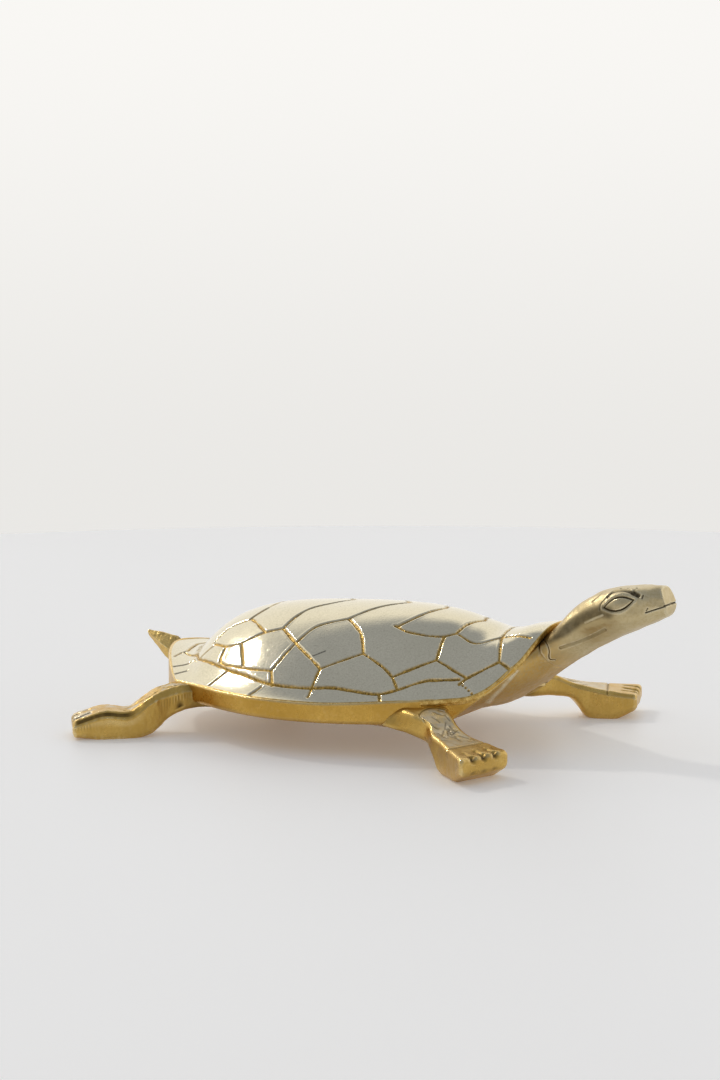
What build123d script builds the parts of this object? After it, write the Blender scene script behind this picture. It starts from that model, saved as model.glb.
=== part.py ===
from build123d import *
import math
import os

# Turtle figurine, cast in brass. Millimetres, +X towards the nose, +Y to the
# turtle's left, +Z up, origin under the middle of the figure at floor level.

# Shell: the lines of the carapace, as a boat's lines are drawn
rear_x = -80.0            # rear lip of the shell, over the tail
shell_length = 134.4      # rear lip to hood tip
shell_width = 100.8       # widest, over the side rims
rim_z = 16.0              # top of the side rim above the floor
dome_rise = 24.3          # top of the dome above the side rim
rear_sweep = 20.0         # how far the rear lip stands behind the rear corners
hood_sweep = 20.8         # how far the hood tip stands ahead of its shoulders
edge_rise = 2.0           # how far the rim climbs towards the hood's shoulders
hood_start = 0.86         # fraction of the length where the hood begins
tail_end = .2             # station where the tail end's straighter run stops
width_line = [(0, .68), (.1, .755), (.23, .88), (.36, .968), (.48, 1), (.6, .988),
              (.7, .943), (.81, .86), (.91, .766), (1, .64)]
ridge_line = [(0, .267), (.045, .23), (.078, .23), (.1, .288), (.134, .473), (.171, .638),
              (.223, .782), (.298, .889), (.395, .951), (.514, .988), (.611, 1), (.685, .984),
              (.76, .926), (.826, .831), (.871, .774), (.908, .798), (.953, .864), (1, .901)]
edge_line = [(0, 0), (.5, 0), (.64, .02), (.81, .45), (1, 1)]
outline_points = 7        # points along each of the rim's four runs
skin_stations = (-.02, .03, .06, .09, .115, .14, .17, .21, .25, .3, .355, .41, .465, .52, .575, .63,
                 .685, .74, .79, .84, .88, .92, .96, 1.02)

# Walls and the joint between shell and body
shell_wall = 2.2          # thickness of the carapace, measured straight down
lip = 1.0                 # rim lip that stands round the carapace's edge
fit_gap = 0.1             # clearance of every fitted edge
rim_wall = 3.4            # thickness of the body's rim wall
rim_height = 6.0          # visible height of the rim wall
belly_drop = 2.0          # how far the belly hangs below the rim wall
belly_scale = 0.8         # size of the belly's flat against the rim's outline
floor = 3.0               # thickness of the belly
bow_angle = 43.0          # slope that cuts the rim back under the hood, degrees
bow_start = 21.0          # where that slope leaves the rim's lower edge, behind the hood tip
bow_end = 8.5             # where the rim stops altogether, behind the hood tip
cavity_end = 30.0         # front of the hollow, behind the hood tip

# Screws, driven from below into counterbores
screw_d = 3.0
head_d = 5.6
head_h = 1.4
head_sink = 0.6           # depth of a head inside the belly
limb_shank = 3.6
shell_shank = 9.0
boss_d = 8.0
boss_at = (0.3, 0.7)      # stations of the carapace's screw bosses
boss_y = 20.0             # their distance either side of the middle

# Throat, neck and head: distance ahead of the hood tip, underside and top above the
# hood tip, half-width
throat = [(-34, -28.9, -15.9, 27.0), (-23, -27.6, -11.9, 29.5), (-14, -25.2, -6.4, 25.0),
          (-7, -21.3, -2.4, 19.0), (-1, -16.5, 0, 13.2), (6, -11.5, 5.0, 9.8), (12, -7.7, 9.3, 9.0),
          (18, -4.3, 11.9, 9.6), (24, -1.3, 13.0, 9.7), (29.5, 1.2, 13.5, 7.8), (34, 3.4, 13.4, 5.6),
          (36.6, 4.6, 12.2, 4.0)]
throat_flats = 16         # flats round the neck
seam_drop = 8.3           # the neck seam's middle, below the hood tip
seam_tilt = 29.0          # degrees the neck leans up from level
tenon_d = 9.0
tenon_length = 13.0
tenon_screw = .62 * tenon_length  # screw's distance behind the seam

# Tail: distance behind the rear lip, height of its ridge above the rim, size
tail_lines = [(-3, 2.3, 1), (11.3, 8.4, .16)]
tail_half = 5.0           # half-width at the root
tail_up = 4.0             # depth above the ridge there
tail_low = 3.2            # depth below it
tail_root = 7.0           # height of the tail's root inside the rim

# Legs: offset from the hip (forward, outward), heading in degrees, half-width,
# underside and top as fractions of the rim's height
front_hip = (0.945, 1.3)  # station along the rim, inset from the rim
front_lines = [(-6, -9, 60, 6.5, .53, .98), (0, 1.5, 60, 6.5, .48, .97), (5, 7, 52, 6.0, .45, .87),
               (10.5, 11.2, 40, 5.8, .36, .71), (14.5, 13.8, 31, 6.2, .03, .64), (19, 16.6, 23, 7.4, -.03, .58),
               (24, 20, 19, 9.0, .02, .54), (29.2, 24, 17, 10.2, .2, .5)]
rear_hip = (0.03, 1.0)
rear_lines = [(7.5, -6.3, 140, 6.0, .53, .98), (0, 0, 140, 6.0, .49, .97), (-3.6, 3.4, 140, 5.8, .33, .9),
              (-7, 7.8, 143, 6.0, .07, .78), (-12, 11.5, 144, 6.6, -.03, .52), (-18.5, 16, 144, 7.2, -.03, .54),
              (-26.5, 21.8, 144, 7.2, .05, .36)]
leg_chamfer = 2.0
tang_width = 8.0
tang_length = 15.0        # from the rim inwards
tang_height = 2.6
tang_screw = 10.5         # screw's distance inside the rim

rim_under = rim_z - rim_height
belly_z = rim_under - belly_drop
floor_z = belly_z + floor
hood_x = rear_x + shell_length
middle_x = rear_x + shell_length / 2
tall = 4 * (rim_z + dome_rise)


def smooth(line, s):
    """Value at s of a smooth line through hand-set points, straight beyond its ends."""
    n = len(line)
    i = 0
    while i < n - 2 and s > line[i + 1][0]:
        i += 1
    slopes = []
    for k in (i, i + 1):
        a = line[max(k - 1, 0)]
        b = line[min(k + 1, n - 1)]
        slopes.append((b[1] - a[1]) / (b[0] - a[0]))
    (x0, y0), (x1, y1) = line[i], line[i + 1]
    if s < x0:
        return y0 + slopes[0] * (s - x0)
    if s > x1:
        return y1 + slopes[1] * (s - x1)
    h = x1 - x0
    t = (s - x0) / h
    start = y0 * (1 + 2 * t) * (1 - t) ** 2 + slopes[0] * h * t * (1 - t) ** 2
    return start + y1 * t * t * (3 - 2 * t) + slopes[1] * h * t * t * (t - 1)


def hood_part(u):
    """How much of the hood's shape a station has, none to all of it."""
    return min(max(0, (u - hood_start) / (1 - hood_start)), 1)


def tail_part(u):
    """How much of the straighter tail end a station has."""
    return min(max(0, 1 - u / tail_end), 1)


def rim_point(u):
    """Plan position of the left rim at station u."""
    x = rear_x + rear_sweep + (shell_length - rear_sweep - hood_sweep) * u
    return x, shell_width / 2 * smooth(width_line, u)


def plan_x(u, y):
    """How far forward the shell's cross line u lies at a distance y off the middle."""
    x_side, half = rim_point(u)
    x_mid = rear_x + shell_length * u
    return x_side + (x_mid - x_side) * (1 - abs(y / half) ** (2 - .5 * tail_part(u) + .6 * hood_part(u)))


def skin_z(x, y):
    """Height of the carapace over a point of the plan."""
    low = -.1
    high = 1.1
    for step in range(30):
        u = (low + high) / 2
        if plan_x(u, y) < x:
            low = u
        else:
            high = u
    t = min(abs(y) / rim_point(u)[1], 1)
    hood = hood_part(u)
    z_mid = rim_z + dome_rise * smooth(ridge_line, u)
    z_side = rim_z + edge_rise * smooth(edge_line, u)
    return z_side + (z_mid - z_side) * (1 - t ** (2 + .8 * hood)) ** (1.3 + 1.6 * hood)


def make_under_skin():
    """Everything below the carapace's outer surface, drawn wider than the rim."""
    reach = shell_width / 2 + 5
    ys = []
    for f in (-1, -.72, -.46, -.22, 0, .22, .46, .72, 1):
        ys.append(reach * f)
    faces = []
    for station in skin_stations:
        x = rear_x + shell_length * station
        crest = Edge.make_spline([(x, y, skin_z(x, y)) for y in ys], parameters=[y / reach for y in ys])
        ends = [crest @ 1, Vector(x, reach, -tall), Vector(x, -reach, -tall), crest @ 0]
        sides = [Edge.make_line(ends[k], ends[k + 1]) for k in range(3)]
        faces.append(Face(Wire([crest] + sides)))
    return loft(faces, ruled=True)


def outline_ring(sunk):
    """Points round the rim, a distance inside its outer edge."""
    n = outline_points
    ring = []
    for i in range(n):
        x, y = rim_point(i / n)
        ring.append((x, -y))
    half = rim_point(1)[1]
    ring += [(plan_x(1, half * (2 * i / n - 1)), half * (2 * i / n - 1)) for i in range(n)]
    ring += [rim_point(1 - i / n) for i in range(n)]
    half = rim_point(0)[1]
    ring += [(plan_x(0, half * (1 - 2 * i / n)), half * (1 - 2 * i / n)) for i in range(n)]
    moved = []
    for i in range(4 * n):
        a = ring[i - 1]
        b = ring[(i + 1) % (4 * n)]
        run = math.hypot(b[0] - a[0], b[1] - a[1])
        moved.append((ring[i][0] - (b[1] - a[1]) * sunk / run, ring[i][1] + (b[0] - a[0]) * sunk / run))
    return moved


def make_outline(sunk):
    """Flat outline at z = 0, drawn a distance inside the rim's outer edge."""
    n = outline_points
    ring = outline_ring(sunk)
    ring.append(ring[0])
    return make_face([Spline(*ring[k * n:k * n + n + 1]) for k in range(4)])


def prism(face, bottom, top):
    return extrude(Pos(0, 0, bottom) * face, amount=top - bottom)


def box(low, high):
    size = [b - a for a, b in zip(low, high)]
    return Pos(*low) * Box(*size, align=(Align.MIN, Align.MIN, Align.MIN))


def turned(d, bottom, top):
    """A small turned length, drawn with twelve flats."""
    return prism(RegularPolygon(d / 2, 12), bottom, top)


def screw(x, y, z, shank):
    """Cheese-head screw standing on its head at height z."""
    return Pos(x, y, z) * (turned(head_d, 0, head_h) + turned(screw_d, head_h, head_h + shank))


def screw_hole(x, y, z, shank):
    """Room for a screw, its counterbore open downwards."""
    bore = turned(screw_d + fit_gap, 0, head_h + shank + fit_gap)
    return Pos(x, y, z) * (bore + turned(head_d + 2 * fit_gap, -tall, head_h))


def ring_at(x, y, heading, points):
    """Corners of an upright ring square to a heading; points are (sideways, height)."""
    a = math.radians(heading)
    return [(x - side * math.sin(a), y + side * math.cos(a), z) for side, z in points]


def faceted(rings):
    """A solid through rings of corners, with flat triangular sides."""
    faces = [Face(Wire.make_polygon(rings[0])), Face(Wire.make_polygon(rings[-1]))]
    for near, far in zip(rings, rings[1:]):
        for i in range(len(near)):
            j = (i + 1) % len(near)
            faces.append(Face(Wire.make_polygon([near[i], near[j], far[j]])))
            faces.append(Face(Wire.make_polygon([near[i], far[j], far[i]])))
    return Solid(Shell(faces))


def leg_solid(hip, lines):
    """One left leg, from inside the rim to the toes, its sole cut flat."""
    rings = []
    for dx, dy, heading, w, low, high in lines:
        lo = low * rim_z
        hi = high * rim_z
        c = leg_chamfer
        ring = [(-w, lo), (w, lo), (w, hi - c), (w - c, hi), (c - w, hi), (-w, hi - c)]
        rings.append(ring_at(hip[0] + dx, hip[1] + dy, heading, ring))
    return faceted(rings) - prism(Rectangle(4 * shell_length, 4 * shell_width), -tall, 0)


def tang_solid(hip, heading, height, grow):
    """A tang lying on the belly, running in from the rim."""
    side = tang_width / 2 + grow
    bar = box((-tang_length - grow, -side, floor_z), (tang_length, side, floor_z + height + grow))
    return Pos(hip[0], hip[1], 0) * Rot(0, 0, heading) * bar


def tail_solid():
    rings = []
    for back, lift, size in tail_lines:
        z = rim_z + lift
        w = tail_half * size
        up = z + tail_up * size
        low = z - tail_low * size
        ring = [(-w, z), (-.9 * w, low), (.9 * w, low), (w, z), (.1 * w, up), (-.1 * w, up)]
        rings.append(ring_at(rear_x - back, 0, 0, ring))
    return faceted(rings)


def throat_solid():
    """Breast, neck and head drawn as one form, in flats that follow ovals."""
    rings = []
    for ahead, low, high, w in throat:
        ring = []
        for i in range(throat_flats):
            a = math.tau * (i + .5) / throat_flats
            ring.append((w * math.sin(a), hood_z + (low + high) / 2 + (high - low) / 2 * math.cos(a)))
        rings.append(ring_at(hood_x + ahead, 0, 0, ring))
    return faceted(rings)


outline = make_outline(0)
hood_z = skin_z(hood_x, 0)
under_skin = make_under_skin()
under_shell = Pos(0, 0, -shell_wall) * under_skin
rim_column = prism(make_outline(-fit_gap / 2), -tall, tall)

# Where the legs, tail and screws go
hips = {}
for name, (station, sunk) in {"front": front_hip, "rear": rear_hip}.items():
    x, y = rim_point(station)
    hips[name] = (x, y - sunk)
headings = {"front": front_lines[1][2], "rear": rear_lines[1][2]}
limb_at = []
for name in hips:
    a = math.radians(headings[name])
    x = hips[name][0] - tang_screw * math.cos(a)
    y = hips[name][1] - tang_screw * math.sin(a)
    limb_at += [(x, y, belly_z + head_sink), (x, -y, belly_z + head_sink)]
limb_at.append((rear_x + tang_screw, 0, belly_z + head_sink))
seam = Plane((hood_x, 0, hood_z - seam_drop), x_dir=(0, 1, 0),
             z_dir=(math.cos(math.radians(seam_tilt)), 0, math.sin(math.radians(seam_tilt))))
tenon_root = seam.origin - seam.z_dir * tenon_screw
limb_at.append((tenon_root.X, 0, tenon_root.Z - tenon_d / 2 - head_h - limb_shank / 2))
shell_at = []
for station in boss_at:
    for y in (boss_y, -boss_y):
        shell_at.append((rear_x + shell_length * station, y, belly_z + head_sink))

# Throat split at the neck seam
form = throat_solid()
ahead_of_seam = extrude(seam * Rectangle(4 * shell_width, 4 * shell_width), amount=tall)
breast = form - ahead_of_seam
tenon = extrude(seam * Circle(tenon_d / 2), amount=-tenon_length)
socket = extrude(seam * Circle(tenon_d / 2 + fit_gap / 2), amount=-tenon_length - fit_gap)

# Body: rim wall, belly and breast in one casting
pocket = prism(make_outline(lip), -tall, tall) - under_shell
hollow = prism(make_outline(rim_wall), floor_z, tall)
hollow -= box((hood_x - cavity_end, -tall, -tall), (tall, tall, tall))
belly_top = [(x, y, rim_under + fit_gap) for x, y in outline_ring(lip / 2)]
belly_low = [(middle_x + (x - middle_x) * belly_scale, y * belly_scale, belly_z) for x, y, z in belly_top]
belly = faceted([belly_top, belly_low])
bow = Plane((hood_x - bow_start, 0, rim_under), x_dir=(0, 1, 0),
            z_dir=(math.sin(math.radians(bow_angle)), 0, -math.cos(math.radians(bow_angle))))
body = (prism(outline, rim_under, tall) & under_skin) + belly
body -= extrude(bow * Rectangle(4 * shell_width, 4 * shell_width), amount=tall)
body -= box((hood_x - bow_end, -tall, -tall), (tall, tall, tall))
body = body + breast - pocket - hollow - socket
for name in hips:
    notch = tang_solid(hips[name], headings[name], tang_height, fit_gap)
    body = body - notch - mirror(notch, about=Plane.XZ)
body -= tang_solid((rear_x, 0), 180, tail_root, fit_gap)
for spot in limb_at:
    body -= screw_hole(*spot, limb_shank)
for spot in shell_at:
    body -= screw_hole(*spot, shell_shank)

# Carapace: dome, margin and hood, with four screw bosses under the dome
carapace = (prism(make_outline(lip + fit_gap), 0, tall) & under_skin) - under_shell
for x, y, z in shell_at:
    boss = Pos(x, y, 0) * turned(boss_d, floor_z, tall)
    carapace += boss & (Pos(0, 0, -shell_wall / 2) * under_skin)
for spot in shell_at:
    carapace -= screw_hole(*spot, shell_shank)

# Legs, tail, head and screws
parts = {"body": body, "carapace": carapace}
for name, lines in {"front": front_lines, "rear": rear_lines}.items():
    leg = leg_solid(hips[name], lines) - rim_column - form
    leg += tang_solid(hips[name], headings[name], tang_height, 0) & rim_column
    for spot in limb_at:
        leg -= screw_hole(*spot, limb_shank)
    parts[name + "_left_leg"] = leg
    parts[name + "_right_leg"] = mirror(leg, about=Plane.XZ)
tail = tail_solid() - rim_column + (tang_solid((rear_x, 0), 180, tail_root, 0) & rim_column)
hood_room = prism(make_outline(lip), -tall, tall) - (Pos(0, 0, -fit_gap) * under_shell)
head = (form & ahead_of_seam) + tenon - hood_room
for spot in limb_at:
    tail -= screw_hole(*spot, limb_shank)
    head -= screw_hole(*spot, limb_shank)
parts["tail"] = tail
parts["head_and_neck"] = head
parts["limb_screws"] = Compound(children=[screw(*spot, limb_shank) for spot in limb_at])
parts["carapace_screws"] = Compound(children=[screw(*spot, shell_shank) for spot in shell_at])

os.makedirs("parts", exist_ok=True)
for name, shape in parts.items():
    export_step(shape, "parts/" + name + ".step")
    print(name, len(shape.solids()), round(shape.volume), shape.is_valid)
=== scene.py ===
import math

import bmesh
import bpy
import numpy as np
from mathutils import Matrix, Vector, kdtree


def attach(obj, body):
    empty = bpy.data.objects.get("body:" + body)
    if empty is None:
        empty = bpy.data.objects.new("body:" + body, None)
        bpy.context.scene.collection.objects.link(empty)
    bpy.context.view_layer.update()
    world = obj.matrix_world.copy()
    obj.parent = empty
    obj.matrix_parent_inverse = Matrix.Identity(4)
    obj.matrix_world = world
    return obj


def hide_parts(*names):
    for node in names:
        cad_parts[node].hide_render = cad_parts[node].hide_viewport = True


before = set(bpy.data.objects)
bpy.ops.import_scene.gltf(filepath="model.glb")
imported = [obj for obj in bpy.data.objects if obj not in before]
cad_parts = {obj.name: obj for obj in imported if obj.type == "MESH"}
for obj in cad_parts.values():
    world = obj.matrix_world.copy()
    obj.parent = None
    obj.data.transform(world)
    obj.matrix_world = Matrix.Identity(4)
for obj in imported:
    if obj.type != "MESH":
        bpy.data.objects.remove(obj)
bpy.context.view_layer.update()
MM = .001

# Shell lines, in the same values as the part: station along the shell, then a share of the full size
rear_x = -80
shell_length = 134.4
shell_width = 100.8
side_start = 20
side_length = shell_length - 40.8
rim_z = 16
dome_rise = 24.3
edge_rise = 2
hood_start = .86
tail_end = .2
width_line = [(0, .68), (.1, .755), (.23, .88), (.36, .968), (.48, 1), (.6, .988), (.7, .943),
              (.81, .86), (.91, .766), (1, .64)]
ridge_line = [(0, .267), (.045, .23), (.078, .23), (.1, .288), (.134, .473), (.171, .638), (.223, .782),
              (.298, .889), (.395, .951), (.514, .988), (.611, 1), (.685, .984), (.76, .926),
              (.826, .831), (.871, .774), (.908, .798), (.953, .864), (1, .901)]
edge_line = [(0, 0), (.5, 0), (.64, .02), (.81, .45), (1, 1)]
hood_x = rear_x + shell_length
hood_z = rim_z + dome_rise * ridge_line[-1][1]

# Limits that keep nose, crown and tail inside the part's box
nose_limit = 90.95
crown_limit = 51.2
tail_limit = -91.25


# Mesh helpers
def smooth(line, s):
    """Value of a drawn line at s, with an even bend through its points."""
    xs = np.array([p[0] for p in line], float)
    ys = np.array([p[1] for p in line], float)
    slope = np.diff(ys) / np.diff(xs)
    bend = np.concatenate([slope[:1], (slope[1:] + slope[:-1]) / 2, slope[-1:]])
    s = np.asarray(s, float)
    k = np.clip(np.searchsorted(xs, s) - 1, 0, len(xs) - 2)
    h = xs[k + 1] - xs[k]
    t = (s - xs[k]) / h
    return (ys[k] * (2 * t**3 - 3 * t**2 + 1) + bend[k] * h * (t**3 - 2 * t**2 + t)
            + ys[k + 1] * (3 * t**2 - 2 * t**3) + bend[k + 1] * h * (t**3 - t**2))


def step(a, b, x):
    """0 before a, 1 after b, smooth between (a may be above b)."""
    t = np.clip((np.asarray(x, float) - a) / (b - a), 0, 1)
    return t * t * (3 - 2 * t)


def lengths(points):
    """Distance run along a line at each of its points."""
    return np.concatenate([[0], np.cumsum(np.linalg.norm(np.diff(points, axis=0), axis=1))])


def skin(u, v):
    """Outer surface of the carapace, u from tail to hood, v from right (-1) to left (1)."""
    u = np.asarray(u, float)
    t = np.abs(np.asarray(v, float))
    hood = np.clip((u - hood_start) / (1 - hood_start), 0, 1)
    tail = np.clip(1 - u / tail_end, 0, 1)
    x_side = rear_x + side_start + side_length * u
    x_mid = rear_x + shell_length * u
    x = x_side + (x_mid - x_side) * (1 - t**(2 - .5 * tail + .6 * hood))
    y = shell_width / 2 * smooth(width_line, u) * v
    z_mid = rim_z + dome_rise * smooth(ridge_line, u)
    z_side = rim_z + edge_rise * smooth(edge_line, u)
    dome = np.clip(1 - t**(2 + .8 * hood), 0, 1)**(1.3 + 1.6 * hood)
    return np.stack(np.broadcast_arrays(x, y, z_side + (z_mid - z_side) * dome), -1)


def skin_at(xy):
    """Points of the carapace straight above points of the plan."""
    xy = np.asarray(xy, float)
    low = np.full(len(xy), 0.)
    high = np.full(len(xy), 1.)
    for _ in range(40):
        u = (low + high) / 2
        v = np.clip(xy[:, 1] / (shell_width / 2 * smooth(width_line, u)), -1, 1)
        behind = skin(u, v)[:, 0] < xy[:, 0]
        low = np.where(behind, u, low)
        high = np.where(behind, high, u)
    return skin(u, v)


def under_shell(P, gap):
    """Lowers the points that the carapace covers to lie at least a gap under its skin."""
    roof = skin_at(P.reshape(-1, 3)[:, :2]).reshape(P.shape)
    covered = np.abs(roof - P)[..., :2].max(-1) < .05
    P[..., 2] = np.where(covered, np.minimum(P[..., 2], roof[..., 2] - gap), P[..., 2])


def curve(points, gap=.3):
    """A line through drawn points, rounded at its bends, in short even steps."""
    p = np.array(points, float)
    run = lengths(p)
    s = np.linspace(0, run[-1], max(3, int(run[-1] / gap)))
    return np.stack([smooth(list(zip(run, p[:, k])), s) for k in range(p.shape[1])], -1)


def distance(P, samples):
    """Distance of every vertex from the nearest of the samples."""
    tree = kdtree.KDTree(len(samples))
    for i, s in enumerate(samples):
        tree.insert(s, i)
    tree.balance()
    flat = P.reshape(-1, P.shape[-1])
    return np.array([tree.find(p)[2] for p in flat]).reshape(P.shape[:-1])


def wobble(P, size, seed):
    """Soft unevenness, mostly between -1 and 1, with bumps about size mm across."""
    rng = np.random.default_rng(seed)
    total = 0
    for _ in range(14):
        d = rng.normal(size=3)
        d *= math.tau / size / np.linalg.norm(d) * rng.uniform(.6, 1.4)
        total = total + np.sin(P @ d + rng.uniform(0, 6.28))
    return total / 5


def quads(rows, cols, wrap=False):
    """Faces of a grid, closed round its columns if it wraps."""
    i = np.arange(rows - 1)[:, None]
    j = np.arange(cols if wrap else cols - 1)[None]
    k = (j + 1) % cols
    corners = [i * cols + j, i * cols + k, (i + 1) * cols + k, (i + 1) * cols + j]
    return np.stack(corners, -1).reshape(-1, 4)


def normals(P, wrap=False):
    """Unit normals of a grid's vertices, all to the same side of it."""
    du = np.gradient(P, axis=0)
    dv = np.roll(P, -1, 1) - np.roll(P, 1, 1) if wrap else np.gradient(P, axis=1)
    n = np.cross(dv, du)
    return n / np.maximum(np.linalg.norm(n, axis=-1, keepdims=True), 1e-9)


def turned_out(P, faces, facing):
    """Faces wound to look outwards (1), inwards (-1) or along a direction."""
    corners = P.reshape(-1, 3)[faces]
    n = np.cross(corners[:, 1] - corners[:, 0], corners[:, 2] - corners[:, 0])
    middle = corners.mean(1)
    if np.ndim(facing) == 0:
        facing = facing * (middle - middle.mean(0))
    return faces if (n * facing).sum() > 0 else faces[:, ::-1]


def bend(mesh):
    """Curvature at each vertex in 1/mm, above 0 on edges and below 0 in hollows."""
    count = len(mesh.vertices)
    at, n = np.empty(count * 3), np.empty(count * 3)
    ends = np.empty(len(mesh.edges) * 2, np.int32)
    mesh.vertices.foreach_get("co", at)
    mesh.vertex_normals.foreach_get("vector", n)
    mesh.edges.foreach_get("vertices", ends)
    at, n = at.reshape(-1, 3) / MM, n.reshape(-1, 3)
    a, b = ends.reshape(-1, 2).T
    d = at[b] - at[a]
    size = np.maximum((d * d).sum(1), 1e-4)
    total = np.bincount(a, -2 * (d * n[a]).sum(1) / size, count)
    total = total + np.bincount(b, 2 * (d * n[b]).sum(1) / size, count)
    links = np.maximum(np.bincount(a, minlength=count) + np.bincount(b, minlength=count), 1)
    total /= links
    for _ in range(2):
        around = np.bincount(a, total[b], count) + np.bincount(b, total[a], count)
        total = total / 2 + around / links / 2
    return total


def piece(name, parts, node, material):
    """One object from grids given as (vertices in mm, faces, {attribute: values})."""
    verts, faces, start = [], [], 0
    marks = {"groove": [], "cavity": [], "edge": [], "warm": []}
    for P, f, values in parts:
        verts.append(P.reshape(-1, 3))
        faces += (turned_out(P, np.asarray(f), values.get("facing", 1)) + start).tolist()
        for key in marks:
            marks[key].append(np.broadcast_to(values.get(key, 0.), P.shape[:-1]).reshape(-1))
        start += len(verts[-1])
    mesh = bpy.data.meshes.new(name)
    mesh.from_pydata((np.concatenate(verts) * MM).tolist(), [], faces)
    mesh.polygons.foreach_set("use_smooth", [True] * len(mesh.polygons))
    mesh.update()
    marks = {key: np.concatenate(values) for key, values in marks.items()}
    marks["bend"] = bend(mesh)
    for key, values in marks.items():
        mesh.attributes.new(key, "FLOAT", "POINT").data.foreach_set("value", values.astype(np.float32))
    mesh.materials.append(material)
    obj = bpy.data.objects.new(name, mesh)
    bpy.context.scene.collection.objects.link(obj)
    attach(obj, "root")
    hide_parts(node)


# Materials
class Nodes:
    """Short way to lay out one material's nodes."""

    def __init__(self, name):
        self.material = bpy.data.materials.new(name)
        self.material.use_nodes = True
        self.tree = self.material.node_tree
        self.shader = self.tree.nodes["Principled BSDF"]
        self.place = self.add("ShaderNodeTexCoord").outputs["Object"]

    def add(self, kind, **inputs):
        """A node with its inputs set by name, or by number as i0, i1 and so on."""
        node = self.tree.nodes.new(kind)
        for key, value in inputs.items():
            self.set(node, key, value)
        return node

    def set(self, node, key, value):
        socket = node.inputs[int(key[1:])] if key[1:].isdigit() else node.inputs[key]
        if isinstance(value, bpy.types.NodeSocket):
            self.tree.links.new(value, socket)
        else:
            socket.default_value = value

    def noise(self, scale, detail=3., rough=.55, stretch=None):
        place = self.place
        if stretch:
            place = self.add("ShaderNodeMapping", Vector=place, Scale=stretch).outputs[0]
        node = self.add("ShaderNodeTexNoise", Vector=place, Scale=scale, Detail=detail, Roughness=rough)
        return node.outputs["Fac"]

    def mark(self, name):
        """A value that the mesh carries at its vertices."""
        node = self.add("ShaderNodeAttribute")
        node.attribute_name = name
        return node.outputs["Fac"]

    def math(self, kind, a, b=0., clamp=False):
        node = self.add("ShaderNodeMath", i0=a, i1=b)
        node.operation = kind
        node.use_clamp = clamp
        return node.outputs[0]

    def span(self, value, low, high, to_low=0., to_high=1.):
        node = self.add("ShaderNodeMapRange", i0=value, i1=low, i2=high, i3=to_low, i4=to_high)
        return node.outputs[0]

    def mix(self, share, a, b):
        node = self.tree.nodes.new("ShaderNodeMix")
        node.data_type = "RGBA"
        for socket, value in ((node.inputs[0], share), (node.inputs[6], a), (node.inputs[7], b)):
            if isinstance(value, bpy.types.NodeSocket):
                self.tree.links.new(value, socket)
            else:
                socket.default_value = value if isinstance(value, float) else (*value, 1)
        return node.outputs[2]

    def finish(self, colour, rough, height, depth):
        """The metal itself, with its bump depth in metres."""
        bump = self.add("ShaderNodeBump", Height=height, Strength=1., Distance=depth)
        self.set(self.shader, "Base Color", colour)
        self.set(self.shader, "Roughness", rough)
        self.set(self.shader, "Normal", bump.outputs[0])
        self.shader.inputs["Metallic"].default_value = 1.
        return self.material


def brass(name, tone, deep, bright, patina, rough, grain, streak=None, silver=(.58, .53, .42), warm=None):
    """Cast brass: blotchy tone, dark patina in the hollows, bright worn edges, sand grain, and the painted
    shade, dark reflections and highlights that the meshes mark.
    """
    n = Nodes(name)
    blotch = n.span(n.noise(70, 4), .35, .68)
    fine = n.noise(650, 5, .6)
    colour = n.mix(blotch, deep, tone)
    if warm:
        colour = n.mix(n.mark("warm"), colour, n.mix(blotch, *warm))
    colour = n.mix(n.span(fine, .52, .75, 0., .1), colour, bright)
    colour = n.mix(n.span(n.noise(1500, 3, .6), .46, .62, 0., .55), colour, deep)
    edge = n.mark("bend")
    wear_and_sheen = n.math("MULTIPLY", n.span(edge, .22, .75), n.span(n.noise(300, 3), .3, .6, .25, 1.))
    # rubbed edges from the meshes' edge mark, which also carries painted highlights
    rubbed_and_sheen = n.math("MULTIPLY", n.mark("edge"), n.span(n.noise(420, 3), .3, .6, .35, 1.))
    wear_and_sheen = n.math("MAXIMUM", wear_and_sheen, rubbed_and_sheen)
    colour = n.mix(n.math("MULTIPLY", wear_and_sheen, .55), colour, bright)
    silvered = n.math("MULTIPLY", n.mark("groove"), n.span(n.noise(380, 5, .7), .35, .6, .3, 1.))
    colour = n.mix(silvered, colour, silver)
    hollow = n.span(edge, -.2, -.8)
    # patina in the hollows and from the meshes' mark, which also carries painted shade and dark reflections
    dirt_and_shade = n.math("MAXIMUM", n.math("MULTIPLY", hollow, .75), n.mark("cavity"))
    dirt_and_shade = n.math("MULTIPLY", dirt_and_shade, n.span(n.noise(500, 4), .25, .6, .7, 1.), True)
    colour = n.mix(dirt_and_shade, colour, patina)
    shade = n.span(n.noise(240, 5, .65), .3, .75, rough - .09, rough + .12)
    shade = n.math("ADD", shade, n.math("MULTIPLY", dirt_and_shade, .25))
    shade = n.math("SUBTRACT", shade, n.math("MULTIPLY", wear_and_sheen, .12), True)
    height = n.math("ADD", n.math("MULTIPLY", n.noise(1500, 6, .7), .6), n.noise(320, 3))
    if streak:
        marks = n.noise(900, 4, .6, streak)
        height = n.math("ADD", height, n.math("MULTIPLY", marks, .6))
    return n.finish(colour, shade, height, grain)


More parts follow.
